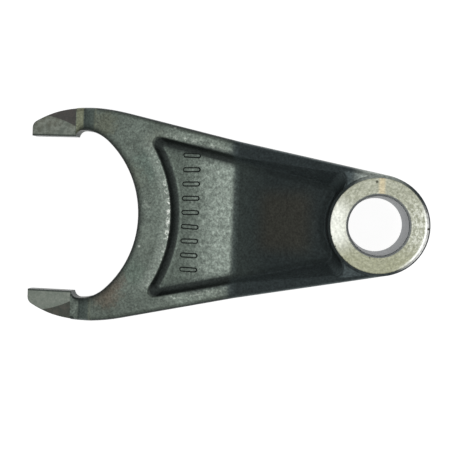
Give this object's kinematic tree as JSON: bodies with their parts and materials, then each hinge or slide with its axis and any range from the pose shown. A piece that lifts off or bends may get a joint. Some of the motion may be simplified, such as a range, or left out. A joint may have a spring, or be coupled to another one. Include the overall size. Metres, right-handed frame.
{
  "type": "differential lock fork",
  "caption": "Forged shift fork with a rail bore through a tall boss, a ribbed and pocketed arm, and a curved mouth whose prongs end in thin machined pads.",
  "frame": {"origin": "on the bore's axis, halfway between the two machined faces of the boss", "axes": "+Z along the bore's axis, square to the arm; -X from the bore towards the open end of the mouth; +Y across the arm. The forging is symmetrical about the XZ and XY planes."},
  "size_m": [0.1859, 0.1006, 0.046],
  "materials": {
    "forged_steel": "dark forging scale with machined bore, boss faces and prong pads"
  },
  "bodies": {
    "root": {"fork": "forged_steel"}
  },
  "joints": []
}
